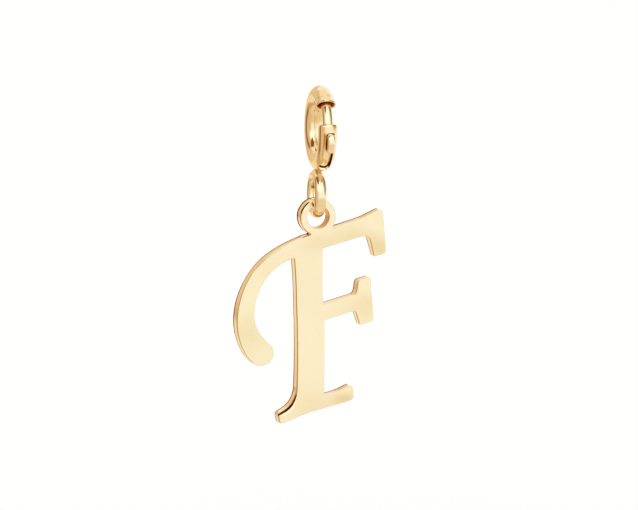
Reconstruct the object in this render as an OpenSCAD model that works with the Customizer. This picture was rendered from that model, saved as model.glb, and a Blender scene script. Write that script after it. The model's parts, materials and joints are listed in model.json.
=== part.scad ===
// Initial pendant: a flat swash italic letter F that hangs on the eye of a spring ring clasp.
// Millimetres. The letter's plate lies in the XZ plane and its front faces -Y.
// The origin is the point inside the top of the clasp ring where the pendant hangs.

/* [Clasp ring] */
// Diameter of the ring along the middle of its tube
ring_d = 4.72; // [4.5:0.02:6]
// Outer diameter of the tube
tube_d = 1.33; // [1.25:0.01:1.5]
// Wall of the tube
tube_wall = 0.15; // [0.12:0.01:0.18]
// Angle of the tube's mouth above the front of the ring
mouth_angle = 48.5; // [42:0.5:52]
// Angle of the tube's lower end above the front of the ring
tube_end_angle = 12.5; // [8:0.5:16]
// Tilt of the mouth away from a square cut, so that it faces more downward
mouth_tilt = 14; // [8:1:18]
// How far the mouth's rim flares out from the tube
mouth_flare = 0.025; // [0.01:0.005:0.05]
// Length of the flare along the tube
mouth_l = 0.34; // [0.26:0.01:0.4]
// Whole band of tube between its lower end and the slot
end_band = 0.5; // [0.4:0.01:0.6]

/* [Bolt] */
// Gap between the bolt and the inside of the tube
bolt_gap = 0.155; // [0.1:0.005:0.18]
// How far the bolt's tip reaches into the mouth when shut
bolt_tip_in = 0.22; // [0.15:0.01:0.3]
// Length of the bolt behind its thumb lug
bolt_tail = 2.1; // [1:0.05:2.6]
// Length of the thumb lug along the ring
lug_l = 1.4; // [1:0.05:1.7]
// Width of the thumb lug
lug_w = 0.54; // [0.4:0.01:0.6]
// How far the thumb lug stands out from the tube
lug_out = 0.6; // [0.4:0.05:0.8]
// Gap between the lug and each side of its slot
lug_side_gap = 0.15; // [0.1:0.01:0.16]
// Gap between the lug and each end of its slot
lug_end_gap = 0.08; // [0.06:0.01:0.12]

/* [Eye] */
// Diameter of the eye along the middle of its wire
eye_d = 2.69; // [2.5:0.01:3]
// Thickness of the eye's wire
eye_wire_d = 0.73; // [0.65:0.01:0.76]
// How far the eye's wire is sunk into the tube where they are soldered
eye_sink = 0.06; // [0.04:0.01:0.1]
// Angle of the eye behind the bottom of the ring
eye_back_angle = 4; // [0:1:6]
// How far the eye is soldered to the side of the tube's middle
eye_side = 0.14; // [0:0.01:0.15]
// Diameter of the solder between the tube and the eye
solder_d = 0.6; // [0.4:0.05:0.7]

/* [Letter] */
// Height of the letter from its baseline to the top of its top arm
letter_h = 12.4; // [11:0.1:14]
// Thickness of the letter's plate
plate_t = 1.0; // [0.8:0.05:1.1]
// Slant of the stem
slant = 13.6; // [10:0.2:16]
// Width of the stem
stem_w = 2.1; // [1.8:0.05:2.4]
// Lean of the free ends of the arms
end_lean = 9.5; // [6:0.5:12]
// Radius of the letter's sharp corners
tip_r = 0.12; // [0.08:0.01:0.16]
// Radius of the letter's soft corners
soft_r = 0.26; // [0.2:0.01:0.3]

/* [Top arm] */
// Thickness of the top arm
arm_t = 1.23; // [1:0.01:1.4]
// Reach of the top arm from the middle of the stem
arm_l = 5.65; // [5:0.05:6.5]
// Rise of the top arm towards its tip
arm_rise = 0.32; // [0.1:0.02:0.4]
// Drop of the top serif below the arm
arm_serif_drop = 1.67; // [1.2:0.05:2]
// Width of the top serif at its lower end
arm_serif_w = 1.0; // [0.9:0.05:1.3]

/* [Middle arm] */
// Thickness of the middle arm
mid_t = 1.15; // [0.9:0.05:1.3]
// Height of the middle arm's underside above the baseline
mid_h = 6.2; // [5.6:0.1:6.8]
// Reach of the middle arm from the middle of the stem
mid_l = 4.65; // [4:0.05:5.2]
// Rise of the middle serif above the arm
mid_serif_rise = 0.9; // [0.6:0.05:1.1]
// Drop of the middle serif below the arm
mid_serif_drop = 1.1; // [0.8:0.05:1.4]
// Width of the middle serif at its lower end
mid_serif_w = 1.1; // [0.9:0.05:1.3]

/* [Foot] */
// Thickness of the foot
foot_t = 1.05; // [0.9:0.05:1.2]
// Reach of the foot to the left of the stem's middle
foot_left = 2.5; // [2.2:0.05:2.8]
// Reach of the foot to the right of the stem's middle
foot_right = 3.35; // [2.8:0.05:3.6]
// Height of the flare where the stem widens into the foot
foot_flare = 1.3; // [1:0.05:1.6]
// Arch of the foot's underside
foot_arch = 0.3; // [0.1:0.05:0.4]

/* [Swash] */
// Reach of the swash to the left of the stem's middle
swash_l = 6.74; // [6:0.1:7.5]
// Drop of the swash below the top of the letter
swash_drop = 8.03; // [7:0.1:9]
// Width of the swash at its widest bend
swash_w = 1.45; // [1.2:0.05:1.6]
// Diameter of the swash's round end
swash_end_d = 1.8; // [1.6:0.05:2]

/* [Loop] */
// Diameter of the hole in the letter's loop
loop_hole_d = 1.56; // [1.54:0.01:1.7]
// Width of the rim round the hole
loop_rim = 0.54; // [0.45:0.01:0.6]
// Place of the hole to the right of the stem's middle
loop_x = 0.98; // [0.7:0.02:1.2]
// Height of the hole above the top of the letter
loop_rise = 1.05; // [1:0.01:1.2]
// Gap between the eye's wire and the top of the hole
swing_gap = 0.015; // [0.01:0.005:0.03]

/* [How it hangs] */
// Turn of the clasp about the vertical
clasp_turn = -5; // [-8:0.5:0]
// Lean of the clasp to the side
clasp_lean = 1; // [0:0.25:4]
// Tilt of the letter's baseline as it hangs
hang_tilt = 14.4; // [12:0.2:17]

/* [Hidden] */
$fn = 64;
ring_r = ring_d / 2;
tube_r = tube_d / 2;
bore_r = tube_r - tube_wall;
bolt_r = bore_r - bolt_gap;
hang_r = ring_r - tube_r;
outer_r = ring_r + tube_r;
eye_r = eye_d / 2;
eye_wire_r = eye_wire_d / 2;
loop_hole_r = loop_hole_d / 2;
loop_r = loop_hole_r + loop_rim;
cut = 1;

// Turns a length along the ring's middle line, or along its outside, into an angle
function ring_angle(l) = l / ring_r * 180 / PI;
function outer_angle(l) = l / outer_r * 180 / PI;

// Angles above the front of the ring, in the order met from the mouth down
bolt_tip_angle = mouth_angle + ring_angle(bolt_tip_in);
slot_top_angle = tube_end_angle - outer_angle(end_band);
lug_top_angle = slot_top_angle - outer_angle(lug_end_gap);
lug_low_angle = lug_top_angle - outer_angle(lug_l);
travel = bolt_tip_angle - tube_end_angle;
slot_low_angle = lug_low_angle - travel - outer_angle(lug_end_gap);
bolt_tail_angle = lug_low_angle - ring_angle(bolt_tail);
slot_w = lug_w + 2 * lug_side_gap;
// The tube is drawn this far past the middle of its mouth, in degrees, and then cut on the tilt
mouth_spare = atan(tube_r * sin(mouth_tilt) / ring_r) + 4;

// The eye hangs from the bottom of the ring, and the letter's hole from the eye
eye_drop = outer_r + eye_wire_r + eye_r - eye_sink;
eye_angle = -90 - eye_back_angle;
wire_climb = eye_r - eye_wire_r - sqrt(pow(eye_r - eye_wire_r, 2) - pow(plate_t / 2, 2));
wire_top = eye_wire_r + wire_climb;
hole_drop = loop_hole_r - wire_top - swing_gap;
eye_low = [
    -eye_side,
    eye_drop * sin(eye_back_angle),
    -hang_r - eye_drop * cos(eye_back_angle) - eye_r
];
leaned = [
    eye_low.x * cos(clasp_lean) + eye_low.z * sin(clasp_lean),
    eye_low.y,
    eye_low.z * cos(clasp_lean) - eye_low.x * sin(clasp_lean)
];
hole_at = [
    leaned.x * cos(clasp_turn) - leaned.y * sin(clasp_turn),
    leaned.x * sin(clasp_turn) + leaned.y * cos(clasp_turn),
    leaned.z - hole_drop
];

// Curves and rounded corners. An outline is a list of corners, each [x, y, radius].
function unit(v) = v / norm(v);
function curve(a, b, c, d, n = 12) = [
    for (i = [0 : n]) let (t = i / n, s = 1 - t)
        s * s * s * a + 3 * s * s * t * b + 3 * s * t * t * c + t * t * t * d
];
function corner_arc(p, q, s, r, n = 6) =
    let (
        a = unit(p - q),
        b = unit(s - q),
        half = acos(a * b) / 2,
        middle = q + unit(a + b) * r / sin(half),
        from = q + a * r / tan(half) - middle,
        to = q + b * r / tan(half) - middle
    )
    [for (i = [0 : n]) middle + r * unit(from * (1 - i / n) + to * i / n)];
function xy(p) = [p[0], p[1]];
function rounded(pts) = [
    for (i = [0 : len(pts) - 1])
        let (
            q = pts[i],
            p = pts[(i + len(pts) - 1) % len(pts)],
            s = pts[(i + 1) % len(pts)]
        )
        each (q[2] == 0 ? [xy(q)] : corner_arc(xy(p), xy(q), xy(s), q[2]))
];

// The letter is drawn upright from its baseline, with x = 0 on the stem's middle line at its top
function stem_x(y) = (y - letter_h) * tan(slant);
function end_x(x, y, y0) = x + (y - y0) * tan(end_lean);

// Places the ring's own plane, x to the front and y up, where the clasp hangs
module in_clasp() {
    rotate([0, clasp_lean, clasp_turn]) translate([0, 0, -hang_r]) rotate([90, 0, -90]) children();
}

// A stretch of round bar bent to the ring, between two angles
module ring_bar(r, from, to) {
    rotate([0, 0, from]) rotate_extrude(angle = to - from) translate([ring_r, 0]) circle(r);
}

// Places the mouth's own frame, with z pointing into the tube
module at_mouth() {
    rotate([0, 0, mouth_angle]) translate([ring_r, 0, 0]) rotate([-90, 0, -mouth_tilt]) children();
}

// The flared rim, a body turned about the mouth's axis
module mouth_rim() {
    at_mouth() rotate_extrude() polygon([
        [0, 0],
        [tube_r + mouth_flare * 0.5, 0],
        [tube_r + mouth_flare, mouth_l * 0.15],
        [tube_r + mouth_flare, mouth_l * 0.3],
        [tube_r - tube_wall / 2, mouth_l],
        [0, mouth_l]
    ]);
}

// The bell inside the mouth that guides the bolt's tip
module mouth_bell() {
    bell_low = -mouth_l / 4;
    bell_high = mouth_l * 0.75;
    at_mouth() translate([0, 0, bell_low])
        cylinder(h = bell_high - bell_low, r1 = bore_r + tube_wall * 0.85, r2 = bore_r * 0.98);
}

// What is cut off the end of the tube at the mouth's plane
module mouth_cut() {
    at_mouth() translate([0, 0, -cut]) cylinder(h = cut, r = tube_r + cut / 2);
}

// The slot that the thumb lug slides in, cut through the outside of the tube
module slot() {
    rotate([0, 0, slot_low_angle]) rotate_extrude(angle = slot_top_angle - slot_low_angle)
        translate([ring_r, -slot_w / 2]) square([tube_r + cut, slot_w]);
}

module eye() {
    rotate([0, 0, eye_angle]) translate([eye_drop, 0, eye_side])
        rotate_extrude() translate([eye_r, 0]) circle(eye_wire_r);
}

// Solder between the tube's wall and the top of the eye
module solder() {
    solder_in = ring_r + bore_r + tube_wall / 3;
    solder_out = eye_drop - eye_r;
    rotate([0, 0, eye_angle]) translate([solder_in, 0, eye_side / 2]) rotate([0, 90, 0])
        cylinder(h = solder_out - solder_in, d = solder_d);
}

module clasp_ring() {
    color("#e9c98d") in_clasp() {
        difference() {
            union() {
                difference() {
                    ring_bar(tube_r, mouth_angle - mouth_spare, 360 + tube_end_angle);
                    mouth_cut();
                }
                mouth_rim();
            }
            ring_bar(bore_r, mouth_angle - mouth_spare, 364 + tube_end_angle);
            mouth_bell();
            slot();
        }
        eye();
        solder();
    }
}

// Side view of the thumb lug, a low dome on the bolt, in the ring's plane
module lug_side() {
    dome_steps = 16;
    lug_mid = (lug_top_angle + lug_low_angle) / 2;
    lug_half = (lug_top_angle - lug_low_angle) / 2;
    base_r = outer_r - tube_wall;
    dome_h = tube_wall + lug_out;
    dome = [
        for (i = [0 : dome_steps]) let (
            t = 180 * i / dome_steps,
            a = lug_mid + lug_half * cos(t),
            r = base_r + dome_h * sqrt(sin(t))
        ) [r * cos(a), r * sin(a)]
    ];
    root = [
        for (a = [lug_low_angle, lug_top_angle]) [ring_r * cos(a), ring_r * sin(a)]
    ];
    polygon(concat(dome, root));
}

module bolt() {
    color("#f6e3b4") in_clasp() {
        ring_bar(bolt_r, bolt_tail_angle, bolt_tip_angle);
        linear_extrude(lug_w, center = true) lug_side();
    }
}

// The stem, whose edges are read off a short table of widths
module stem() {
    // height as a share of letter_h, left and right edge as shares of stem_w
    rows = [
        [0.03, -0.50, 0.49],
        [0.18, -0.51, 0.50],
        [0.33, -0.475, 0.525],
        [0.50, -0.465, 0.545],
        [0.60, -0.475, 0.487],
        [0.75, -0.487, 0.487],
        [0.89, -0.53, 0.515],
        [0.97, -0.56, 0.53]
    ];
    left = [for (row = rows) [stem_x(row[0] * letter_h) + row[1] * stem_w, row[0] * letter_h]];
    right = [
        for (i = [len(rows) - 1 : -1 : 0]) let (row = rows[i])
            [stem_x(row[0] * letter_h) + row[2] * stem_w, row[0] * letter_h]
    ];
    polygon(concat(left, right));
}

// The top arm with its hanging serif
module top_arm() {
    under = letter_h - arm_t;
    low = under - arm_serif_drop;
    inner_x = end_x(arm_l, low, letter_h) - arm_serif_w;
    tip_x = end_x(arm_l, letter_h + arm_rise, letter_h);
    polygon(concat(
        rounded([
            [-stem_w / 4, under, 0],
            [inner_x + tip_r / 2, under, soft_r * 1.6],
            [inner_x + tip_r / 2, low, tip_r],
            [end_x(arm_l, low, letter_h), low, soft_r],
            [tip_x, letter_h + arm_rise, tip_r],
            [tip_x * 0.72, letter_h + arm_rise * 0.16, 0]
        ]),
        curve(
            [tip_x * 0.72, letter_h + arm_rise * 0.16],
            [tip_x * 0.6, letter_h + arm_rise * 0.02],
            [tip_x * 0.4, letter_h],
            [-stem_w / 4, letter_h],
            6
        )
    ));
}

// The middle arm with its double serif
module middle_arm() {
    over = mid_h + mid_t;
    high = over + mid_serif_rise;
    low = mid_h - mid_serif_drop;
    middle_x = stem_x(mid_h + mid_t / 2);
    out_x = middle_x + mid_l;
    inner_x = end_x(out_x, low, mid_h) - mid_serif_w;
    upper_x = end_x(out_x, high, mid_h) - mid_serif_w + tip_r;
    polygon(rounded([
        [middle_x, mid_h, 0],
        [inner_x - tip_r / 2, mid_h, tip_r],
        [inner_x, low, tip_r],
        [end_x(out_x, low, mid_h), low, soft_r],
        [end_x(out_x, high, mid_h), high, tip_r],
        [upper_x, high, soft_r],
        [upper_x - mid_serif_rise * 0.42, over, soft_r * 1.3],
        [middle_x, over, 0]
    ]));
}

// The foot, a slab with an arched underside that the stem flares into on the left
module foot() {
    middle_x = stem_x(foot_t / 2);
    left_x = middle_x - foot_left;
    right_x = middle_x + foot_right;
    flare_y = foot_t + foot_flare;
    flare_x = stem_x(flare_y) - stem_w / 2;
    shoulder_y = foot_t * 0.83;
    shoulder_x = left_x + soft_r * 1.5;
    polygon(concat(
        rounded([
            [shoulder_x + soft_r, shoulder_y + soft_r * 0.35, 0],
            [left_x, shoulder_y - soft_r * 0.35, soft_r],
            [left_x, 0, tip_r],
            [left_x + foot_t * 0.6, 0, 0]
        ]),
        curve(
            [left_x + foot_t * 0.6, 0],
            [left_x + foot_left, foot_arch],
            [right_x - foot_right * 0.6, foot_arch * 0.2],
            [right_x - foot_t * 0.6, foot_arch * 0.35],
            8
        ),
        rounded([
            [right_x - foot_t * 0.6, foot_arch * 0.35, 0],
            [end_x(right_x, foot_arch * 0.35, foot_t), foot_arch * 0.35, soft_r * 1.4],
            [right_x, foot_t + foot_arch * 0.65, tip_r],
            [right_x - foot_t, foot_t, 0]
        ]),
        [[middle_x, foot_t]],
        [[middle_x, flare_y]],
        curve(
            [flare_x, flare_y],
            [flare_x - foot_flare * 0.25, flare_y - foot_flare * 0.77],
            [flare_x - foot_flare * 0.6, shoulder_y + foot_flare * 0.21],
            [shoulder_x + soft_r, shoulder_y + soft_r * 0.35],
            10
        )
    ));
}

// The swash, from the top of the stem round to its drop-shaped end
module swash() {
    end_r = swash_end_d / 2;
    end_x = -swash_l + end_r * 1.5;
    end_y = letter_h - swash_drop + end_r;
    bend_x = swash_w - swash_l;
    // across as a share of swash_l, down from the top of the letter as a share of swash_drop
    outer = [
        [0.16, 0], [-0.10, 0], [-0.26, 0.010], [-0.46, 0.068],
        [-0.77, 0.160], [-1, 0.440], [-1, 0.685],
        [-1, 0.834], [-0.95, 0.920], [-0.897, 0.967]
    ];
    inner = [
        [-0.10, 0.150], [-0.36, 0.155], [-0.51, 0.215], [-0.605, 0.303],
        [-0.727, 0.398], [-0.785, 0.52], [-0.785, 0.623],
        [-0.785, 0.75], [-0.668, 0.83], [-0.668, 0.888]
    ];
    function outside(i) = [outer[i][0] * swash_l, letter_h - outer[i][1] * swash_drop];
    function inside(i) = [
        (inner[i][0] + 0.785) * swash_l + bend_x,
        letter_h - inner[i][1] * swash_drop
    ];
    polygon(concat(
        curve(outside(0), outside(1), outside(2), outside(3)),
        curve(outside(3), outside(4), outside(5), outside(6), 24),
        curve(outside(6), outside(7), outside(8), outside(9), 12),
        [
            for (a = [230 : 10 : 350])
                [end_x + end_r * cos(a), end_y + end_r * sin(a)]
        ],
        curve(inside(9), inside(8), inside(7), inside(6), 12),
        curve(inside(6), inside(5), inside(4), inside(3), 16),
        curve(inside(3), inside(2), inside(1), inside(0), 12)
    ));
}

// One stroke of the letter as a slab of plate, placed so that the hole's centre is at the origin
module slab() {
    rotate(hang_tilt) translate([-loop_x, -letter_h - loop_rise])
        linear_extrude(plate_t, center = true) children();
}

module letter() {
    color("#fbeccb") translate(hole_at) rotate([90, 0, 0]) difference() {
        union() {
            slab() stem();
            slab() top_arm();
            slab() middle_arm();
            slab() foot();
            slab() swash();
            cylinder(h = plate_t, r = loop_r, center = true);
        }
        cylinder(h = plate_t + cut, r = loop_hole_r, center = true);
    }
}

clasp_ring();
bolt();
letter();
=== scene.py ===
import json
import math

import bmesh
import bpy
import numpy as np
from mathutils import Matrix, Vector
from mathutils.geometry import delaunay_2d_cdt


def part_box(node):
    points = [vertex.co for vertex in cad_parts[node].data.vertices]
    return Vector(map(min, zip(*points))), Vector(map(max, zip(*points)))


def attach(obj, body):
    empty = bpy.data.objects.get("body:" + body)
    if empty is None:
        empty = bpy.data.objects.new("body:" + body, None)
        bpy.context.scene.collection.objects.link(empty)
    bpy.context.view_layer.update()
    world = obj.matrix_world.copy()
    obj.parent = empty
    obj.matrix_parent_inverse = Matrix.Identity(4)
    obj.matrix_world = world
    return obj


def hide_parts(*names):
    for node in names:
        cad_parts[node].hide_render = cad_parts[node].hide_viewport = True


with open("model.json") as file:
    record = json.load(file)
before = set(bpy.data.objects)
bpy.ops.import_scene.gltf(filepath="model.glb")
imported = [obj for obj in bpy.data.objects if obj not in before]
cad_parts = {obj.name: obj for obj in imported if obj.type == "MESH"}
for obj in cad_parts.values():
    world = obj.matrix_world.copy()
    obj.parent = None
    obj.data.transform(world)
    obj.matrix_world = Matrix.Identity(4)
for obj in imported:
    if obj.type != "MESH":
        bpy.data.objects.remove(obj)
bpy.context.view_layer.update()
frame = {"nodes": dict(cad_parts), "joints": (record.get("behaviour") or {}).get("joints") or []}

# An initial pendant: a polished gold letter F that hangs from a spring ring clasp with a sliding bolt
mm = 0.001  # m
joints = {joint["name"]: joint for joint in frame["joints"]}
scene = bpy.context.scene
scene.view_settings.view_transform = "Standard"  # keeps a white sweep white, as in a catalogue picture
scene.cycles.max_bounces = scene.cycles.glossy_bounces = 16  # light finds its way round inside the tube
print("stage: frame loaded")


def linearColour(hexText):  # an sRGB hex value as the linear colour that Blender shades with
    channels = [int(hexText[i : i + 2], 16) / 255 for i in (1, 3, 5)]
    return [c / 12.92 if c <= 0.04045 else ((c + 0.055) / 1.055) ** 2.4 for c in channels] + [1.0]


def addNode(tree, kind, inputs=None, **settings):  # one node with its settings, values and links
    node = tree.nodes.new(kind)
    for name, value in settings.items():
        setattr(node, name, value)
    for name, value in (inputs or {}).items():
        if isinstance(name, int):
            socket = node.inputs[name]
        else:  # several may share a name, and the node's settings leave one of them switched on
            fitting = [one for one in node.inputs if one.enabled and name in (one.name, one.identifier)]
            socket = fitting[0]
        if isinstance(value, bpy.types.NodeSocket):
            tree.links.new(value, socket)
        else:
            socket.default_value = value
    return node


def addPiece(name, points, faces, body, materials, faceMaterials=None, sharpAngle=40):
    mesh = bpy.data.meshes.new(name)
    mesh.from_pydata([tuple(point) for point in points], [], faces)
    for material in materials:
        mesh.materials.append(material)
    if faceMaterials:
        mesh.polygons.foreach_set("material_index", faceMaterials)
    form = bmesh.new()
    form.from_mesh(mesh)
    bmesh.ops.recalc_face_normals(form, faces=form.faces)
    form.to_mesh(mesh)
    form.free()
    mesh.shade_smooth()
    mesh.set_sharp_from_angle(angle=math.radians(sharpAngle))
    piece = bpy.data.objects.new(name, mesh)
    scene.collection.objects.link(piece)
    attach(piece, body)
    return piece


def softenEdges(piece, widthMm, segments, fromAngle=50):  # rounds what is still sharp, as the wheel does
    bevel = piece.modifiers.new("softened edges", "BEVEL")
    bevel.width = widthMm * mm
    bevel.segments = segments
    bevel.limit_method = "ANGLE"
    bevel.angle_limit = math.radians(fromAngle)
    bevel.harden_normals = True


def strip(rowA, rowB, closed=True):  # faces between two rows of point numbers
    count = len(rowA)
    return [
        (rowA[j], rowA[(j + 1) % count], rowB[(j + 1) % count], rowB[j])
        for j in range(count if closed else count - 1)
    ]


def rowNumbers(rings):  # the point numbers of rings that all have as many points
    count = len(rings[0])
    return [range(i * count, (i + 1) * count) for i in range(len(rings))]


def skin(rings, capped):  # points and faces over rings in a row, with flat caps or joined end to end
    rows = rowNumbers(rings)
    following = rows[1:] if capped else rows[1:] + rows[:1]
    faces = [quad for rowA, rowB in zip(rows, following) for quad in strip(rowA, rowB)]
    if capped:
        faces += [tuple(rows[0]), tuple(reversed(rows[-1]))]
    return [point for ring in rings for point in ring], faces


def smoothStep(x):  # rises from 0 to 1 with a soft start and end
    x = min(max(x, 0.0), 1.0)
    return x * x * (3 - 2 * x)


def curvePoint(t, start, leave, finish, arrive):  # on the smooth curve between two points, by their slopes
    return (
        (2 * t**3 - 3 * t**2 + 1) * start + (t**3 - 2 * t**2 + t) * leave
        + (3 * t**2 - 2 * t**3) * finish + (t**3 - t**2) * arrive
    )


# 14 karat yellow gold, a pale warm metal. What tells its surfaces apart is how each was finished, and on some
# of them painted shade and painted reflection in the colour.
# A finish is clear in some places and cloudy in others: "polish" is the roughness where it is clear and
# "haze" what the clouds add, "deep" and "pale" are the gold's colours there, "edge" tints what is seen
# edge-on, and "metal" is given where a surface is made less metallic than the gold, for the bore's painted
# red-brown reflection.
goldLooks = {
    # Plate polished on a cloth wheel: pale, nearly a mirror, with faint clouds and hair-fine lines
    "plate": {"pale": "#F9ECC9", "deep": "#F6E5BB", "polish": 0.07, "haze": 0.05},
    # Wall as the saw and fine sandpaper left it: satin, and painted a deeper brownish gold with a brown edge
    # tint, a painted dark reflection along the walls
    "sawnPaintedDark": {"pale": "#BA8648", "deep": "#96652F", "polish": 0.24, "haze": 0.10, "edge": "#8A5520"},
    # A dark red-brown streak painted into the widest rounding of the front edge: a painted dark reflection
    "paintedStreak": {"pale": "#8C4422", "deep": "#6E2C12", "polish": 0.16, "haze": 0.08, "edge": "#8A5520"},
    # Hole as the drill left it: satin, and in colour between the plate and the sawn wall, which is painted
    # shade inside the hole
    "drilledShaded": {"pale": "#E4B670", "deep": "#C08A48", "polish": 0.20, "haze": 0.10},
    # Tube polished after bending: a mirror a touch cloudier and warmer than the plate
    "tube": {"pale": "#FAEAC4", "deep": "#F4DEB0", "polish": 0.08, "haze": 0.06},
    # Wire drawn through a die and polished: the palest mirror, with fine lines down its length
    "wire": {"pale": "#FCEFD2", "deep": "#F8E6BE", "polish": 0.07, "haze": 0.05},
    # Gold solder as it flowed: soft highlights on a deeper yellow, darkened as painted shade of the joint
    # between ring and eye
    "solder": {"pale": "#E8C48C", "deep": "#C99A5C", "polish": 0.18, "haze": 0.10},
    # Inside of the tube: matt red-brown, hardly metallic, a painted reflection that stands in for light
    # reflected many times round inside the gold
    "bore": {"pale": "#E07838", "deep": "#B8501F", "polish": 0.55, "haze": 0.15, "metal": 0.15},
}
goldGrain = {
    "hazeMm": 1.6,  # size of the clouds that a cloth wheel leaves
    "hazeFrom": 0.35,  # values of the clouds between which the haze sets in
    "hazeTo": 0.75,
    "scratchMm": 0.06,  # width of a fine polishing line, drawn about three times as coarse as real
    "scratchRun": 9.0,  # how many times longer than wide a line is
    "scratchDeepMm": 0.0006,
    "waveMm": 3.2,  # length of the slow waves that polishing leaves in a flat face
    "waveDeepMm": 0.006,
}


# The lines run along the axes marked 1. With all three marked they are wide soft dents instead.
def goldMaterial(name, look, along=(1, 1, 1)):
    material = bpy.data.materials.new(name)
    material.use_nodes = True
    tree = material.node_tree
    tree.nodes.clear()
    place = addNode(tree, "ShaderNodeTexCoord").outputs["Object"]
    cloud = addNode(tree, "ShaderNodeTexNoise", {
        "Vector": place, "Scale": 1 / (goldGrain["hazeMm"] * mm), "Detail": 3.0,
    }).outputs["Fac"]
    linePlace = addNode(tree, "ShaderNodeMapping", {
        "Vector": place,
        "Scale": [1 / goldGrain["scratchRun"] if a else 1.0 for a in along],
    }).outputs["Vector"]
    lines = addNode(tree, "ShaderNodeTexNoise", {
        "Vector": linePlace, "Scale": 1 / (goldGrain["scratchMm"] * mm), "Detail": 2.0,
    }).outputs["Fac"]
    waves = addNode(tree, "ShaderNodeTexNoise", {
        "Vector": place, "Scale": 1 / (goldGrain["waveMm"] * mm), "Detail": 0.0,
    }).outputs["Fac"]
    tone = addNode(tree, "ShaderNodeMix", {
        "Factor": cloud, "A": linearColour(look["deep"]), "B": linearColour(look["pale"]),
    }, data_type="RGBA")
    haze = addNode(tree, "ShaderNodeMapRange", {
        "Value": cloud, "From Min": goldGrain["hazeFrom"], "From Max": goldGrain["hazeTo"],
        "To Min": look["polish"], "To Max": look["polish"] + look["haze"],
    }).outputs["Result"]
    waveBump = addNode(tree, "ShaderNodeBump", {
        "Height": waves, "Distance": goldGrain["waveDeepMm"] * mm, "Strength": 1.0,
    }).outputs["Normal"]
    lineBump = addNode(tree, "ShaderNodeBump", {
        "Height": lines, "Distance": goldGrain["scratchDeepMm"] * mm, "Strength": 1.0,
        "Normal": waveBump,
    }).outputs["Normal"]
    shader = addNode(tree, "ShaderNodeBsdfPrincipled", {
        "Base Color": tone.outputs["Result"], "Metallic": look.get("metal", 1.0), "Roughness": haze,
        "Specular Tint": linearColour(look.get("edge", "#FFFFFF")), "Normal": lineBump,
    })
    addNode(tree, "ShaderNodeOutputMaterial", {"Surface": shader.outputs["BSDF"]})
    return material


plateGold = goldMaterial("polished 14k gold plate", goldLooks["plate"], along=(1, 0, 0))
# satin roughness, and a brown colour painted as the dark reflection along the walls
sawnGoldPaintedDark = goldMaterial("sawn and lightly sanded 14k gold edge", goldLooks["sawnPaintedDark"], along=(0, 1, 0))
# painted reflection: a dark red-brown streak in the front edge's widest rounding
paintedStreakGold = goldMaterial("14k gold edge with a painted dark reflection streak", goldLooks["paintedStreak"])
# painted shade: the hole's wall is coloured darker than the plate
drilledGoldShaded = goldMaterial("drilled 14k gold hole", goldLooks["drilledShaded"])
tubeGold = goldMaterial("polished 14k gold tube", goldLooks["tube"])
wireGold = goldMaterial("drawn and polished 14k gold wire", goldLooks["wire"], along=(0, 0, 1))
# the solder's deeper yellow is also painted shade of the joint between ring and eye
solderGoldShaded = goldMaterial("flowed gold solder, darkened as painted shade of the joint", goldLooks["solder"])
# painted reflection: the red-brown of light reflected many times round inside the tube
borePaintedRedGold = goldMaterial("unpolished 14k gold with firescale", goldLooks["bore"])
print("stage: materials made")

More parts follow.
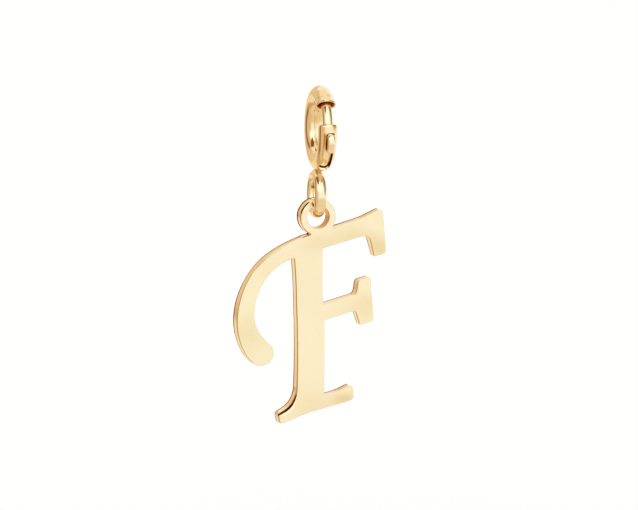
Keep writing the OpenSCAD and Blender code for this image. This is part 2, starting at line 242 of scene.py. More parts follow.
# The letter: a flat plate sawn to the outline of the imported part, with its edges rounded on the wheel.
# A place on it is given in mm to the right of and above the middle of the loop's hole, with the mm that
# what happens there reaches.
letterLook = {
    "pointStep": 0.07,  # mm between the points along the outline
    "curveStep": 0.02,  # mm between the finer points that it is first drawn with
    "cornerTurn": 26,  # degrees from which a turn of the outline is a corner and no bend
    "wallEase": 0.003,  # mm that polishing takes off the walls
    "cornerEase": 0.06,  # mm by which the wheel eases the corners
    "wornCorners": [  # where it eased them more, and by how many mm
        {"across": 2.46, "up": -12.1, "reach": 0.3, "ease": 0.2},  # the foot's right end
        {"across": 4.73, "up": 0.39, "reach": 0.3, "ease": 0.2},  # the arm's tip
    ],
    "frontIn": 0.065,  # mm that the rounded front edge takes off the face
    "frontDeep": 0.26,  # mm that it reaches down the wall
    "backIn": 0.05,  # the back edge is only broken
    "backDeep": 0.08,
    "edgeSteps": 7,  # rows of faces round each edge
    "sharpAngle": 70,  # degrees, so that no rounding is shaded as sharp
    "holeWidest": 3.0,  # mm: a narrower outline is the loop's drilled hole, which isn't polished inside
    "sawnDarkBand": 0.15,  # mm of the wall beside the back edge that keep the saw's duller finish and are painted darker, a painted dark reflection
    # Round the loop the wheel reaches less of the wall, and the band with its painted dark reflection is
    # wider there by this share
    "widerDarkBand": {"across": 0.0, "up": 0.0, "reach": 1.5, "more": 1.2},
    "faceStep": 0.17,  # mm between the points across a face
    "rimGap": 0.6,  # share of that step which they keep from the outline
    "faceDrop": 0.004,  # mm that a polished face falls away towards its edge
    "faceDropReach": 0.4,  # mm over which it falls
    "faceEase": 0.03,  # mm that hand polishing takes off the face
    # Where it left the face leaning, and the degrees, with plus for a face turned up to the light
    "leans": [
        {"across": -5.0, "up": -5.1, "reach": 1.2, "lean": 3.0},  # the swash's outer bend
        {"across": -5.2, "up": -8.4, "reach": 1.5, "lean": -2.2},  # its round end
        {"across": -0.1, "up": -1.8, "reach": 0.9, "lean": -2.6},  # below the loop
        {"across": -0.7, "up": -8.7, "reach": 2.4, "lean": 1.2},  # the middle of the stem
        {"across": 2.6, "up": -1.3, "reach": 1.2, "lean": -3.2},  # the arm
        {"across": 4.5, "up": -2.4, "reach": 1.1, "lean": -4.8},  # its serif
        {"across": 3.6, "up": -6.4, "reach": 1.3, "lean": -3.0},  # the bar's serif
        {"across": -0.6, "up": -13.4, "reach": 1.3, "lean": -1.6},  # the foot
        {"across": 1.9, "up": -13.0, "reach": 0.7, "lean": -5.0},  # its right end
    ],
    # Where the wheel rounded the front edge more: by what share it is wider, and the degrees that the
    # rounded side faces, with 90 for up and 180 for left
    "wear": [
        {"across": -2.5, "up": -13.4, "reach": 1.0, "more": 5.4, "facing": 128},  # the foot's left tip
        {"across": -1.05, "up": 0.9, "reach": 0.75, "more": 2.0, "facing": 148},  # the loop's left
    ],
    "wearFocus": 3,  # the higher, the less it wears the sides that face another way
    "wornDeep": 0.3,  # share of that by which the rounding reaches further down the wall
    "paintedStreakFrom": 2.2,  # times wider, from which a streak of the rounding is painted dark red-brown, a painted reflection
    "paintedStreakRows": (2, 3),  # its rows of faces that the painted streak takes, counted from the face
}


def faceOutlines(node):  # closed outlines of the flat front face in mm, with the metal on their left
    grid = 1e-4  # mm to which corners are rounded, so that those of neighbours are the same
    scale = 1 / (mm * grid)
    ways = set()
    for polygon in node.data.polygons:
        if polygon.normal.y < -0.99:  # it looks straight to the front
            corners = [node.data.vertices[i].co for i in polygon.vertices]
            corners = [(round(c.x * scale), round(c.z * scale)) for c in corners]
            ways.update(zip(corners, corners[1:] + corners[:1]))
    following = {a: b for a, b in ways if (b, a) not in ways}
    outlines = []
    while following:
        outline = [min(following)]
        while outline[-1] in following:
            outline.append(following.pop(outline[-1]))
        outlines.append(np.array(outline[:-1]) * grid)
    return outlines


def fadeFrom(place, x, z):  # 1 at a place and less round it, and how far the spots lie above it
    hole = joints["letter_swing"]["pos_m"]
    aside, above = x - hole[0] / mm - place["across"], z - hole[2] / mm - place["up"]
    return np.exp(-(aside**2 + above**2) / (2 * place["reach"] ** 2)), above


def easeLine(line, ease, share):  # rounds the corners of a closed line
    for _ in range(round(2 * (ease / letterLook["pointStep"]) ** 2)):
        line = line + share * (np.roll(line, 1, 0) - 2 * line + np.roll(line, -1, 0)) / 4
    return line


def easedOutline(outline):  # a smooth closed line through an outline's points, evenly stepped
    look = letterLook
    before, after = np.roll(outline, 1, 0), np.roll(outline, -1, 0)
    into, out = outline - before, after - outline
    turn = np.abs(np.arctan2(into[:, 0] * out[:, 1] - into[:, 1] * out[:, 0], (into * out).sum(1)))
    corner = turn > math.radians(look["cornerTurn"])
    slope = (after - before) / np.linalg.norm(after - before, axis=1)[:, None]
    fine = []
    for i, start in enumerate(outline):
        j = (i + 1) % len(outline)
        chord = outline[j] - start
        length = np.linalg.norm(chord)
        leave = chord if corner[i] else slope[i] * length
        arrive = chord if corner[j] else slope[j] * length
        for t in np.arange(0, 1, min(0.5, look["curveStep"] / length)):
            fine.append(curvePoint(t, start, leave, outline[j], arrive))
    fine = np.array(fine + fine[:1])
    run = np.concatenate([[0], np.cumsum(np.linalg.norm(np.diff(fine, axis=0), axis=1))])
    steps = np.linspace(0, run[-1], round(run[-1] / look["pointStep"]), endpoint=False)
    eased = np.stack([np.interp(steps, run, fine[:, k]) for k in (0, 1)], axis=1)
    eased = easeLine(eased, look["cornerEase"], 1)
    for worn in look["wornCorners"]:
        eased = easeLine(eased, worn["ease"], fadeFrom(worn, *eased.T)[0][:, None])
    return eased


def insideOutlines(spots, outlines):  # even and odd crossings say which spots lie on the metal
    inside = np.zeros(len(spots), bool)
    for outline in outlines:
        for a, b in zip(outline, np.roll(outline, -1, 0)):
            crosses = (a[1] > spots[:, 1]) != (b[1] > spots[:, 1])
            if crosses.any():
                at = a[0] + (spots[:, 1] - a[1]) / (b[1] - a[1] + 1e-12) * (b[0] - a[0])
                inside ^= crosses & (spots[:, 0] < at)
    return inside


def leanFall(x, z):  # mm by which the leans take a spot of the face back
    fall = letterLook["faceEase"]
    for lean in letterLook["leans"]:
        fade, above = fadeFrom(lean, x, z)
        fall = fall + math.tan(math.radians(lean["lean"])) * above * fade
    return fall


def leanSlope(spots, reach=0.01):  # how fast that grows to the right and up, measured over a short reach
    x, z = spots.T
    right = leanFall(x + reach, z) - leanFall(x - reach, z)
    above = leanFall(x, z + reach) - leanFall(x, z - reach)
    return np.stack([right, above], axis=1) / (2 * reach)


def wearAt(outline, inward):  # how many times wider the front edge's rounding is
    total = np.ones(len(outline))
    for wear in letterLook["wear"]:
        facing = math.radians(wear["facing"])
        towards = np.clip(-inward @ np.array([math.cos(facing), math.sin(facing)]), 0, 1)
        total += wear["more"] * towards ** letterLook["wearFocus"] * fadeFrom(wear, *outline.T)[0]
    return total[:, None]


def edgeRing(outline, inward, wear, side, turn):  # a row of a rounded edge, turned from flat by an angle
    wide = side["in"] * wear
    deep = side["deep"] * (1 + (wear - 1) * letterLook["wornDeep"])
    ring = outline + inward * wide * (1 - math.sin(turn))
    sunk = letterLook["faceDrop"] + deep[:, 0] * (1 - math.cos(turn)) + leanFall(*ring.T)
    flat = wide * math.cos(turn)
    across = leanSlope(ring) * flat - inward * (deep * math.sin(turn))
    return ring, side["plane"] + side["way"] * sunk, across, -side["way"] * flat[:, 0]


def bandRing(outline, inward, wallEnd):  # the row of the wall at which the sawn band, painted darker as a dark reflection, starts
    less = letterLook["widerDarkBand"]
    band = letterLook["sawnDarkBand"] * (1 + less["more"] * fadeFrom(less, *outline.T)[0])
    return outline, wallEnd - band, -inward, np.zeros(len(outline))


def faceNet(rimSpots, low, high):  # a triangular net whose points fall away towards the face's edge
    look = letterLook
    step = look["faceStep"]
    net = np.array([
        (x + step / 2 * (row % 2), z)
        for row, z in enumerate(np.arange(low[2], high[2], step * math.sqrt(3) / 2))
        for x in np.arange(low[0], high[0], step)
    ])
    net = net[insideOutlines(net, rimSpots)]
    allRims = np.concatenate(rimSpots)
    edgeGap = np.array([np.sqrt(((allRims - spot) ** 2).sum(1).min()) for spot in net])
    clear = edgeGap > step * look["rimGap"]
    net, edgeGap = net[clear], edgeGap[clear]
    nearEdge = np.clip(1 - edgeGap / look["faceDropReach"], 0, 1)
    fall = leanFall(*net.T) + look["faceDrop"] * nearEdge**2
    spots = [Vector(spot) for spot in np.concatenate([allRims, net])]
    edges, first = [], 0
    for rim in rimSpots:
        edges += [(first + i, first + (i + 1) % len(rim)) for i in range(len(rim))]
        first += len(rim)
    insideOnly, sameWithin = 1, 1e-6  # triangles inside the outlines, and mm within which spots are one
    found = delaunay_2d_cdt(spots, edges, [], insideOnly, sameWithin)
    origins = [origin[0] for origin in found[3]]
    triangles = [tuple(origins[i] for i in face) for face in found[2]]
    centres = np.array([sum((np.array(spots[i]) for i in face), np.zeros(2)) / 3 for face in triangles])
    return net, fall, [face for face, kept in zip(triangles, insideOutlines(centres, rimSpots)) if kept]


def buildLetter():
    look = letterLook
    low, high = (np.array(corner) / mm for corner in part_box("letter"))
    # Each side's plane, the way from it into the metal, and mm that its rounded edge goes in and deep
    front = {"plane": low[1], "way": 1, "in": look["frontIn"], "deep": look["frontDeep"]}
    back = {"plane": high[1], "way": -1, "in": look["backIn"], "deep": look["backDeep"]}
    front["rims"], front["spots"], back["rims"], back["spots"] = [], [], [], []
    wallEnd = back["plane"] - look["faceDrop"] - back["deep"]
    quarter = [math.pi / 2 * k / look["edgeSteps"] for k in range(look["edgeSteps"] + 1)]
    golds = [plateGold, sawnGoldPaintedDark, drilledGoldShaded, paintedStreakGold]
    polished, sawnPaintedDark, drilledShaded, paintedStreak = range(len(golds))
    points, normals, faces, faceMaterials = [], [], [], []
    for outline in map(easedOutline, faceOutlines(frame["nodes"]["letter"])):
        along = np.roll(outline, -1, 0) - np.roll(outline, 1, 0)
        inward = np.stack([-along[:, 1], along[:, 0]], axis=1)
        inward /= np.linalg.norm(inward, axis=1)[:, None]
        outline = outline + inward * look["wallEase"]
        wear = wearAt(outline, inward)
        rings = [edgeRing(outline, inward, wear, front, turn) for turn in quarter]
        rings.append(bandRing(outline, inward, wallEnd))
        rings += [edgeRing(outline, inward, np.ones_like(wear), back, turn) for turn in reversed(quarter)]
        rows = []
        for ring, y, across, forward in rings:
            rows.append(range(len(points), len(points) + len(ring)))
            points += zip(ring[:, 0], y, ring[:, 1])
            normals += zip(across[:, 0], forward, across[:, 1])
        isHole = np.ptp(outline[:, 0]) < look["holeWidest"]
        for k, (rowA, rowB) in enumerate(zip(rows, rows[1:])):
            faces += strip(rowA, rowB)
            # the band beside the back edge gets the painted dark reflection, and the hole's wall painted
            # shade
            if k > look["edgeSteps"] / (2 if isHole else 1):
                faceMaterials += [drilledShaded if isHole else sawnPaintedDark] * len(outline)
            # middle rows of the widest rounding get the painted dark reflection streak
            elif k in look["paintedStreakRows"]:
                faceMaterials += [paintedStreak if wider > look["paintedStreakFrom"] else polished for wider in wear[:, 0]]
            else:
                faceMaterials += [polished] * len(outline)
        for side, k in ((front, 0), (back, -1)):
            side["rims"].append(rows[k])
            side["spots"].append(rings[k][0])

    for side in (front, back):
        net, fall, triangles = faceNet(side["spots"], low, high)
        numbers = [i for rim in side["rims"] for i in rim]
        numbers += range(len(points), len(points) + len(net))
        points += [(x, side["plane"] + side["way"] * drop, z) for (x, z), drop in zip(net, fall)]
        faces += [tuple(numbers[i] for i in face) for face in triangles]
    faceMaterials += [polished] * (len(faces) - len(faceMaterials))
    points = [(x * mm, y * mm, z * mm) for x, y, z in points]
    piece = addPiece(
        "letterPlate", points, faces, "letter", golds, faceMaterials, look["sharpAngle"]
    )
    # The rounding's own normals keep what it mirrors smooth
    ways = [vertex.normal.copy() for vertex in piece.data.vertices]
    ways[: len(normals)] = [Vector(normal).normalized() for normal in normals]
    piece.data.normals_split_custom_set_from_vertices(ways)
    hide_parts("letter")


buildLetter()
print("stage: letter made")

# The clasp's tube. The bolt's joint gives the ring's centre and axis, and the origin is the hang point
# above them. Places along the tube are in degrees round the ring, with 0 to the front and 90 up.
tubeLook = {  # sizes in mm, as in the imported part
    "ringRadius": 2.36,
    "tubeRadius": 0.662,  # 0.665 less what polishing takes off
    "boreRadius": 0.515,
    "mouthAngle": 48.5,
    "mouthTilt": 14.0,  # degrees that the mouth is cut aslant
    "mouthBlend": 1.3,  # mm over which the tube turns into that
    "endAngle": 12.5,
    "slotTop": 0.2,
    "slotLow": -67.9,
    "slotHalf": 0.38,  # half its width
    "slotCorner": 0.13,  # radius of its corners
    "cornerShares": [0, 0.1, 0.35, 0.7, 1.0],  # shares of that with a cross section
    "seamDeep": 0.02,  # depth of the seam where the tube's sheet meets
    # Lines along the tube: how many across the slot and on each flank, and at the seam their degrees
    # from its middle and their share of its depth
    "slotLines": 14,
    "flankLines": 18,
    "seamLines": [
        (7.5, 0), (4.5, 0), (2.6, 0.2), (1.2, 0.75), (0, 1), (-1.2, 0.75), (-2.6, 0.2), (-4.5, 0), (-7.5, 0),
    ],
    "angleStep": 2.0,  # degrees between the cross sections
    "endLength": 0.2,  # the shaped length at the lower end
    "endSteps": 3,  # cross sections between it and the slot
    "mouthLength": 0.5,  # the shaped length at the mouth
    # Their shapes, as mm from the end and mm out from the tube's surface. The lower end: out of the bore,
    # then over the rounded rim
    "endIn": [(0.12, -0.147), (0.05, -0.143), (0.015, -0.129), (0.0, -0.102)],
    "endOut": [(0.008, -0.07), (0.035, -0.038), (0.08, -0.015), (0.14, -0.003)],
    # The mouth: from the neck up the flare, over the lip, then down the bell into the bore
    "flare": [(0.40, -0.012), (0.31, -0.006), (0.22, 0.012), (0.14, 0.032), (0.08, 0.044)],
    "lip": [(0.035, 0.046), (0.008, 0.034), (0.0, 0.012), (0.004, -0.012), (0.02, -0.032)],
    "bell": [(0.07, -0.06), (0.14, -0.092), (0.24, -0.125), (0.36, -0.143)],
    "edgeRound": 0.028,  # rounding of the slot's edges
    "edgeRoundSteps": 3,
    "sharpAngle": 45,  # degrees
}
ringCentre = Vector(joints["bolt_slide"]["pos_m"])
ringAxis = Vector(joints["bolt_slide"]["axis"]).normalized()
ringUp = -ringCentre.normalized()
ringFront = ringAxis.cross(ringUp)


def ringWay(degrees):  # the direction from the ring's centre at an angle above its front
    return ringFront * math.cos(math.radians(degrees)) + ringUp * math.sin(math.radians(degrees))


def ringPoint(degrees, radius, side=0.0):
    return ringCentre + ringWay(degrees) * (radius * mm) + ringAxis * (side * mm)


def alongRing(length):  # a length along the tube's middle line as an angle
    return math.degrees(length / tubeLook["ringRadius"])


def slotHalfAt(angle):  # half the slot's width, less in its rounded corners and least past its ends
    look, corner = tubeLook, tubeLook["slotCorner"]
    outside = math.radians(1) * (look["ringRadius"] + look["tubeRadius"])
    toEnd = min(look["slotTop"] - angle, angle - look["slotLow"]) * outside
    if toEnd >= corner:
        return look["slotHalf"]
    return look["slotHalf"] - corner + math.sqrt(corner**2 - (corner - max(toEnd, 0.0)) ** 2)


def tubeRing(angle, out, seamed):  # the tube's cross section at an angle, mm out from its surface
    look = tubeLook
    radius = look["tubeRadius"] + out
    half = math.degrees(math.asin(slotHalfAt(angle) / radius))
    flank = (180 - look["seamLines"][0][0] - half) / look["flankLines"]
    turns = [(-half + 2 * half * j / look["slotLines"], 0) for j in range(look["slotLines"] + 1)]
    turns += [(half + flank * j, 0) for j in range(1, look["flankLines"])]
    turns += [(180 - spread, share) for spread, share in look["seamLines"]]
    turns += [(360 - half - flank * j, 0) for j in range(look["flankLines"] - 1, 0, -1)]
    beforeMouth = (angle - (look["mouthAngle"] - 360)) / alongRing(look["mouthBlend"])
    outward = ringWay(angle - look["mouthTilt"] * (1 - smoothStep(beforeMouth)))
    ring = []
    for turn, share in turns:
        dip = look["seamDeep"] * share if seamed else 0.0
        way = outward * math.cos(math.radians(turn)) + ringAxis * math.sin(math.radians(turn))
        ring.append(ringPoint(angle, look["ringRadius"]) + way * ((radius - dip) * mm))
    return ring


def buildTube():
    look = tubeLook
    top, low = look["slotTop"], look["slotLow"]
    lowerEnd, mouth = look["endAngle"], look["mouthAngle"] - 360
    start, finish = lowerEnd - alongRing(look["endLength"]), mouth + alongRing(look["mouthLength"])
    corner = math.degrees(look["slotCorner"] / (look["ringRadius"] + look["tubeRadius"]))
    straight = top - low - 2 * corner
    slotSteps, restSteps = int(straight / look["angleStep"]), int((low - finish) / look["angleStep"])
    # Angles of the cross sections: from the lower end to the slot, along the slot, and on to the mouth
    angles = [start + (top - start) * k / look["endSteps"] for k in range(look["endSteps"])]
    firstSlot = len(angles)
    angles += [top - corner * share for share in look["cornerShares"]]
    angles += [top - corner - straight * k / slotSteps for k in range(1, slotSteps)]
    angles += [low + corner * share for share in reversed(look["cornerShares"])]
    lastSlot = len(angles) - 1
    angles += [low + (finish - low) * k / restSteps for k in range(1, restSteps + 1)]

    # The skin goes out of the bore round the lower end, along the outside to the mouth, and back inside
    rings = [tubeRing(lowerEnd - alongRing(length), out, False) for length, out in look["endIn"]]
    rings += [tubeRing(lowerEnd - alongRing(length), out, True) for length, out in look["endOut"]]
    firstOuter = len(rings)
    rings += [tubeRing(angle, 0, True) for angle in angles]
    rings += [tubeRing(mouth + alongRing(length), out, True) for length, out in look["flare"]]
    rings += [tubeRing(mouth + alongRing(length), out, False) for length, out in look["lip"]]
    # from here on the inside gets the red-brown painted reflection
    firstPaintedRed = len(rings)
    rings += [tubeRing(mouth + alongRing(length), out, False) for length, out in look["bell"]]
    firstInner = len(rings)
    boreOut = look["boreRadius"] - look["tubeRadius"]
    rings += [tubeRing(angle, boreOut, False) for angle in reversed(angles)]

    rows = rowNumbers(rings)
    outerRows, innerRows = rows[firstOuter : firstOuter + len(angles)], rows[firstInner:][::-1]
    openRows = set(range(firstOuter + firstSlot, firstOuter + lastSlot))
    openRows |= set(range(len(rows) - 1 - lastSlot, len(rows) - 1 - firstSlot))
    faces, faceMaterials = [], []
    tube, bore = range(2)
    for i, row in enumerate(rows):
        quads = strip(row, rows[(i + 1) % len(rows)])
        if i in openRows:  # without the faces across the slot
            quads = quads[look["slotLines"] :]
        faces += quads
        faceMaterials += [bore if i >= firstPaintedRed or i == 0 else tube] * len(quads)
    for k in range(firstSlot, lastSlot):  # the slot's two long walls
        for j in (0, look["slotLines"]):
            faces.append((outerRows[k][j], outerRows[k + 1][j], innerRows[k + 1][j], innerRows[k][j]))
    for k in (firstSlot, lastSlot):  # and its two ends
        outerLine, innerLine = outerRows[k][: look["slotLines"] + 1], innerRows[k][: look["slotLines"] + 1]
        faces += strip(outerLine, innerLine, closed=False)
    faceMaterials += [tube] * (len(faces) - len(faceMaterials))
    points = [point for ring in rings for point in ring]
    golds = [tubeGold, borePaintedRedGold]
    piece = addPiece(
        "claspTube", points, faces, "clasp", golds, faceMaterials, look["sharpAngle"]
    )
    softenEdges(piece, look["edgeRound"], look["edgeRoundSteps"])
    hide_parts("clasp_ring")


buildTube()
print("stage: clasp tube made")

eyeLook = {  # mm and degrees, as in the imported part
    "radius": 1.345,
    "wireRadius": 0.365,
    "wireHalf": 0.42,  # half the wire's width across, as it is rolled a little flat
    "drop": 4.675,  # from the ring's centre
    "backAngle": 4.0,  # behind straight down
    "side": -0.14,
    "steps": 96,
    "wireSteps": 32,
}
eyeWay = ringWay(-90 - eyeLook["backAngle"])  # from the ring's centre down to the eye
eyeBack = ringWay(180 - eyeLook["backAngle"])
eyeCentre = ringCentre + eyeWay * (eyeLook["drop"] * mm) + ringAxis * (eyeLook["side"] * mm)


def buildEye():
    look = eyeLook
    rings = []
    for i in range(look["steps"]):
        turn = 2 * math.pi * i / look["steps"]
        out = eyeWay * math.cos(turn) + eyeBack * math.sin(turn)
        ring = []
        for j in range(look["wireSteps"]):
            bend = 2 * math.pi * j / look["wireSteps"]
            across = look["radius"] + look["wireRadius"] * math.cos(bend)
            side = look["wireHalf"] * math.sin(bend)
            ring.append(eyeCentre + out * (across * mm) + ringAxis * (side * mm))
        rings.append(ring)
    points, faces = skin(rings, capped=False)
    addPiece("claspEye", points, faces, "clasp", [wireGold])


solderLook = {
    "along": 0.58,  # mm, half its length along the ring
    "across": 0.29,  # mm, half its width
    "sink": 0.012,  # mm that it goes into the ring and the eye
    "heel": 0.8,  # share of its length and width towards which it first creeps along each of them
    "creep": 2.2,  # the higher, the more hollow its sides
    "rows": 8,
    "steps": 48,
}


def buildSolder():  # a saddle of solder, hollow all round, from the ring's underside to the eye's top
    look, middleSide = solderLook, eyeLook["side"] / 2

    def onRing(along, across):  # along, sideways and down from the ring's centre to the tube's underside
        side = middleSide + across
        reach = tubeLook["ringRadius"] + math.sqrt(tubeLook["tubeRadius"] ** 2 - side**2)
        return Vector((along, side, math.sqrt(reach**2 - along**2) - look["sink"]))

    def onEye(along, across):  # the same to the eye's upper side
        reach = eyeLook["radius"] + math.sqrt(eyeLook["wireRadius"] ** 2 - across**2)
        down = eyeLook["drop"] - math.sqrt(reach**2 - along**2) + look["sink"]
        return Vector((along, eyeLook["side"] + across, down))

    rings = []
    for k in range(look["rows"] + 1):
        ring = []
        for j in range(look["steps"]):
            turn = 2 * math.pi * j / look["steps"]
            along, across = look["along"] * math.cos(turn), look["across"] * math.sin(turn)
            start, finish = onRing(along, across), onEye(along, across)
            leave = (onRing(along * look["heel"], across * look["heel"]) - start) * look["creep"]
            arrive = (finish - onEye(along * look["heel"], across * look["heel"])) * look["creep"]
            spot = curvePoint(k / look["rows"], start, leave, finish, arrive)
            ring.append(ringCentre + (eyeBack * spot.x + ringAxis * spot.y + eyeWay * spot.z) * mm)
        rings.append(ring)
    points, faces = skin(rings, capped=True)
    addPiece("claspSolder", points, faces, "clasp", [solderGoldShaded])


buildEye()
buildSolder()
print("stage: eye and solder made")

boltLook = {  # mm and degrees round the ring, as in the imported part
    "radius": 0.36,
    "bodyRadius": 0.44,  # thicker where it rides in the tube
    "bodyStart": 5.0,
    "bodyEnd": -1.0,
    "tipAngle": 53.84,
    "tailAngle": -76.0,
    "tipRound": 0.22,  # length of each rounded end
    "roundShares": [0.0, 0.02, 0.08, 0.18, 0.32, 0.5, 0.72],  # shares of that with a cross section
    "tipLeast": 0.02,  # share of the radius that the first of them keeps
    "wireSteps": 32,
    "angleStep": 2.0,
}


def buildBolt():
    look = boltLook
    tip, tail = look["tipAngle"], look["tailAngle"]
    rounded = alongRing(look["tipRound"])
    straight = tip - tail - 2 * rounded
    count = int((tip - tail) / look["angleStep"])
    # Each cross section's angle, and how far from the end it is as a share of the rounding
    stations = [(tip - rounded * share, share) for share in look["roundShares"]]
    stations += [(tip - rounded - straight * k / count, 1.0) for k in range(count + 1)]
    stations += [(tail + rounded * share, share) for share in reversed(look["roundShares"])]
    rings = []
    for angle, share in stations:
        body = smoothStep((look["bodyStart"] - angle) / (look["bodyStart"] - look["bodyEnd"]))
        radius = look["radius"] + (look["bodyRadius"] - look["radius"]) * body
        radius *= max(math.sqrt(1 - (1 - share) ** 2), look["tipLeast"])
        centre = ringPoint(angle, tubeLook["ringRadius"])
        ring = []
        for j in range(look["wireSteps"]):
            turn = 2 * math.pi * j / look["wireSteps"]
            way = ringWay(angle) * math.cos(turn) + ringAxis * math.sin(turn)
            ring.append(centre + way * (radius * mm))
        rings.append(ring)
    points, faces = skin(rings, capped=True)
    piece = addPiece("boltWire", points, faces, "bolt", [wireGold])
    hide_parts("bolt")


lugLook = {  # mm and degrees round the ring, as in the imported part
    "top": -0.6,
    "low": -26.2,
    "width": 0.56,
    "side": 0.06,  # that it sits to the right in its slot
    "out": 0.6,  # that it stands out from the tube
    "edge": 0.2,  # rounding of its edges
    "edgeSteps": 7,
    "steps": 28,
}


def buildLug():  # the thumb lug, a low dome with rounded edges that stands on the bolt
    look = lugLook
    middle, half = (look["top"] + look["low"]) / 2, (look["top"] - look["low"]) / 2
    base = tubeLook["ringRadius"] + tubeLook["boreRadius"]
    rise = tubeLook["tubeRadius"] - tubeLook["boreRadius"] + look["out"]
    flank = []  # angles and mm from the ring's centre, over the dome and down to the bolt's middle
    for i in range(look["steps"] + 1):
        turn = math.pi * i / look["steps"]
        flank.append((middle + half * math.cos(turn), base + rise * math.sqrt(max(math.sin(turn), 0.0))))
    flank += [(look["low"], tubeLook["ringRadius"]), (look["top"], tubeLook["ringRadius"])]
    sides = [look["side"] + way * look["width"] / 2 for way in (-1, 1)]
    rings = [[ringPoint(angle, radius, side) for angle, radius in flank] for side in sides]
    points, faces = skin(rings, capped=True)
    piece = addPiece("boltLug", points, faces, "bolt", [wireGold])
    softenEdges(piece, look["edge"], look["edgeSteps"])


buildBolt()
buildLug()
print("stage: bolt made")

# Camera: a long lens at the photo's angle, aimed so that the hole of the loop falls where it does there
cameraView = {
    "azimuth": -17.0,  # degrees, with minus for left of the letter's front
    "elevation": 8.0,
    "frameWidth": 638,  # pixels
    "frameHeight": 510,
    "pixelsPerMm": 14.25,
    "holeAcross": 318.5,  # pixels from the left to the middle of the hole's front rim
    "holeDown": 217.2,  # pixels from the top
    "distance": 0.6,  # m
    "sensor": 36.0,  # mm
    "nearest": 0.01,  # m
    "farthest": 20.0,
}


def buildCamera():
    view = cameraView
    turn, rise = math.radians(view["azimuth"]), math.radians(view["elevation"])
    right = Vector((math.cos(turn), math.sin(turn), 0))
    toCamera = Vector((math.sin(turn) * math.cos(rise), -math.cos(turn) * math.cos(rise), math.sin(rise)))
    up = toCamera.cross(right)
    hole = Vector(joints["letter_swing"]["pos_m"])
    hole.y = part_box("letter")[0].y
    across = (view["frameWidth"] / 2 - view["holeAcross"]) / view["pixelsPerMm"]
    down = (view["frameHeight"] / 2 - view["holeDown"]) / view["pixelsPerMm"]
    aim = hole + (right * across - up * down) * mm
    data = bpy.data.cameras.new("photo camera")
    data.sensor_width = view["sensor"]
    data.lens = view["distance"] * view["sensor"] / (view["frameWidth"] / view["pixelsPerMm"] * mm)
    data.clip_start, data.clip_end = view["nearest"], view["farthest"]
    camera = bpy.data.objects.new("photo camera", data)
    camera.location = aim + toCamera * view["distance"]
    camera.rotation_euler = toCamera.to_track_quat("Z", "Y").to_euler()
    scene.collection.objects.link(camera)
    scene.camera = camera


buildCamera()
print("stage: camera set")

studio = {
    "floorDrop": 32.0,  # mm from the hang point down to the floor
    "floorSize": 1.6,  # m
    "floorColour": "#FBFAF8",
    "floorRough": 0.9,
    "roomColour": "#FFFFFF",
    "roomGlow": 1.06,
    "tentColour": "#FFFFFF",
    "tentGlow": 1.05,
    # What the metal mirrors round it, each panel over the ones before. "at" is the panel's middle and
    # "size" its width and height in degrees, with azimuth 0 in front, 90 to the right and then the
    # height above eye level. "soft" is the width of its blurred border.
    "panels": [
        {"at": (0, -90), "size": (400, 124), "soft": 44, "colour": "#EFDFC4"},  # the warm table below
        {"at": (22, -39), "size": (150, 44), "soft": 22, "colour": "#EADABA"},  # its near side
        {"at": (-108, -1), "size": (112, 94), "soft": 16, "colour": "#E1C8AB"},  # the room on the left
        {"at": (-172, 2), "size": (40, 48), "soft": 12, "colour": "#E8CEA8"},  # behind, a wall
        {"at": (-146, -27), "size": (50, 50), "soft": 12, "colour": "#D0AE82"},  # and what stands at it
        {"at": (180, 72), "size": (200, 56), "soft": 18, "colour": "#FAF0DE"},  # the ceiling behind
        {"at": (86, 34), "size": (58, 72), "soft": 18, "colour": "#BCA27E"},  # a dim corner on the right
        {"at": (100, 25), "size": (34, 30), "soft": 12, "colour": "#8F7450"},  # its darkest part
        {"at": (-24, 40), "size": (104, 46), "soft": 26, "colour": "#FFFFFF", "glow": 1.35},  # the lamp
        {"at": (180, -21), "size": (56, 28), "soft": 6, "colour": "#F6E3C6"},  # the table's far side
        {"at": (-86, 59), "size": (80, 32), "soft": 8, "colour": "#8A4A22"},  # a brown beam, upper left
        {"at": (-122, 2), "size": (24, 62), "soft": 10, "colour": "#9C7144"},  # a brown post, left
    ],
}


def paleFloor():
    half = studio["floorSize"] / 2
    drop = -studio["floorDrop"] * mm
    mesh = bpy.data.meshes.new("studio floor")
    corners = [(-half, -half, drop), (half, -half, drop), (half, half, drop), (-half, half, drop)]
    mesh.from_pydata(corners, [], [(0, 1, 2, 3)])
    material = bpy.data.materials.new("matt white studio paper")
    material.use_nodes = True
    paper = material.node_tree.nodes["Principled BSDF"]
    paper.inputs["Base Color"].default_value = linearColour(studio["floorColour"])
    paper.inputs["Roughness"].default_value = studio["floorRough"]
    mesh.materials.append(material)
    floor = bpy.data.objects.new("studioFloor", mesh)
    floor.visible_glossy = False  # below it the metal mirrors the tent's own floor
    scene.collection.objects.link(floor)


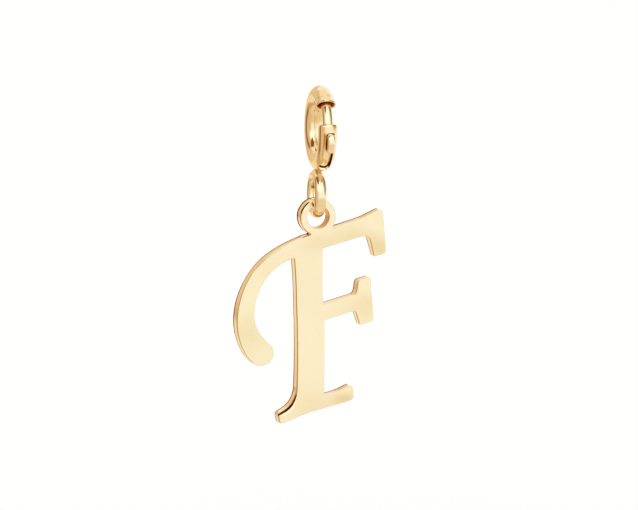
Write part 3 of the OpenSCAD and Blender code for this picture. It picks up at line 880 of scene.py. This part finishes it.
def softStudio():  # a plain white room, and the tent of panels for what the metal mirrors
    world = bpy.data.worlds.new("soft studio")
    scene.world = world
    world.use_nodes = True
    tree = world.node_tree
    tree.nodes.clear()
    way = addNode(tree, "ShaderNodeTexCoord").outputs["Generated"]
    axes = addNode(tree, "ShaderNodeSeparateXYZ", {"Vector": way}).outputs
    forward = addNode(tree, "ShaderNodeMath", {0: axes["Y"], 1: -1.0}, operation="MULTIPLY").outputs[0]
    turn = addNode(tree, "ShaderNodeMath", {0: axes["X"], 1: forward}, operation="ARCTAN2").outputs[0]
    rise = addNode(tree, "ShaderNodeMath", {0: axes["Z"]}, operation="ARCSINE").outputs[0]
    place = addNode(tree, "ShaderNodeCombineXYZ", {"X": turn, "Y": rise}).outputs["Vector"]
    colour = linearColour(studio["tentColour"])
    for panel in studio["panels"]:
        middle = [math.radians(angle) for angle in panel["at"]] + [0]
        sizes = [math.radians(angle) for angle in panel["size"]] + [1]
        soft = math.radians(panel["soft"])
        offset = addNode(tree, "ShaderNodeVectorMath", {0: place, 1: middle}, operation="SUBTRACT")
        nearest = addNode(tree, "ShaderNodeVectorMath", {
            0: offset.outputs["Vector"], 1: [math.pi] * 3, 2: [-math.pi] * 3,
        }, operation="WRAP")
        distance = addNode(tree, "ShaderNodeVectorMath", {0: nearest.outputs["Vector"]}, operation="ABSOLUTE")
        shares = addNode(tree, "ShaderNodeMapRange", {
            "Vector": distance.outputs["Vector"],
            "From_Min_FLOAT3": [(size - soft) / 2 for size in sizes],
            "From_Max_FLOAT3": [(size + soft) / 2 for size in sizes],
            "To_Min_FLOAT3": [1.0] * 3,
            "To_Max_FLOAT3": [0.0] * 3,
        }, data_type="FLOAT_VECTOR", interpolation_type="SMOOTHSTEP")
        parts = addNode(tree, "ShaderNodeSeparateXYZ", {"Vector": shares.outputs["Vector"]}).outputs
        share = addNode(tree, "ShaderNodeMath", {0: parts["X"], 1: parts["Y"]}, operation="MULTIPLY")
        colour = addNode(tree, "ShaderNodeMix", {
            "Factor": share.outputs[0], "A": colour,
            "B": [channel * panel.get("glow", 1.0) for channel in linearColour(panel["colour"])],
        }, data_type="RGBA").outputs["Result"]
    tent = addNode(tree, "ShaderNodeBackground", {"Color": colour, "Strength": studio["tentGlow"]})
    room = addNode(tree, "ShaderNodeBackground", {
        "Color": linearColour(studio["roomColour"]), "Strength": studio["roomGlow"],
    })
    # What shines sees the tent, and everything else the plain room
    rays = addNode(tree, "ShaderNodeLightPath").outputs
    both = addNode(tree, "ShaderNodeMixShader", {
        0: rays["Is Glossy Ray"], 1: room.outputs["Background"], 2: tent.outputs["Background"],
    })
    addNode(tree, "ShaderNodeOutputWorld", {"Surface": both.outputs["Shader"]})


paleFloor()
softStudio()
print("stage: studio set")
